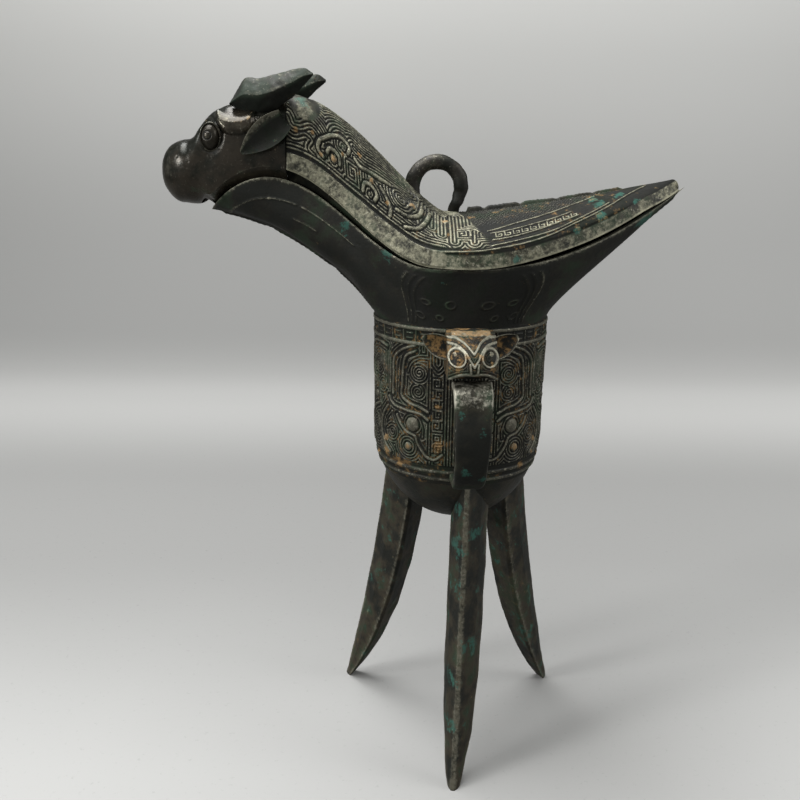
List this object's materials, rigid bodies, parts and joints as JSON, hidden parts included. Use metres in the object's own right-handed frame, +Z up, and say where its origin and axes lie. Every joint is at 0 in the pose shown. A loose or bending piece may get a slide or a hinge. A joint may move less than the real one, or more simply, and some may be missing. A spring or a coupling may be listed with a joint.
{
  "type": "three-legged wine cup",
  "caption": "Cast bronze wine cup on blade legs, with a pouring spout, a pointed tail, a strap handle and a loose saddle-shaped lid that ends in a horned beast's head.",
  "frame": {"origin": "on the floor, under the middle of the object's length and width", "axes": "+Z up, -X towards the spout and the beast's head, +X towards the tail, -Y towards the handle"},
  "size_m": [0.1798, 0.0844, 0.2439],
  "materials": {
    "bronze_dark": "aged bronze, dark green-black patina worn bright on edges, ochre earth in the recesses",
    "bronze_green": "aged bronze with green and blue-green verdigris patches",
    "bronze_worn": "handled bronze, brown-black and smooth with soft highlights",
    "bronze_earth": "aged bronze with light ochre burial earth"
  },
  "bodies": {
    "cup": {"cup_body": "bronze_dark", "leg_front": "bronze_green", "leg_rear_left": "bronze_green", "leg_rear_right": "bronze_green", "handle_strap": "bronze_dark", "handle_mask": "bronze_earth", "mask_eye_left": "bronze_worn", "mask_eye_right": "bronze_worn", "mask_ear_left": "bronze_earth", "mask_ear_right": "bronze_earth"},
    "lid": {"lid_shell": "bronze_dark", "tail_spine": "bronze_dark", "ring_handle": "bronze_dark", "beast_head": "bronze_worn", "horn_left": "bronze_green", "horn_right": "bronze_green", "ear_left": "bronze_green", "ear_right": "bronze_green", "eye_left": "bronze_worn", "eye_right": "bronze_worn"}
  },
  "joints": [
    {"name": "lid_lift", "type": "slide", "parent": "cup", "child": "lid", "axis": [0, 0, 1], "range_m": [0, 0.07]}
  ]
}
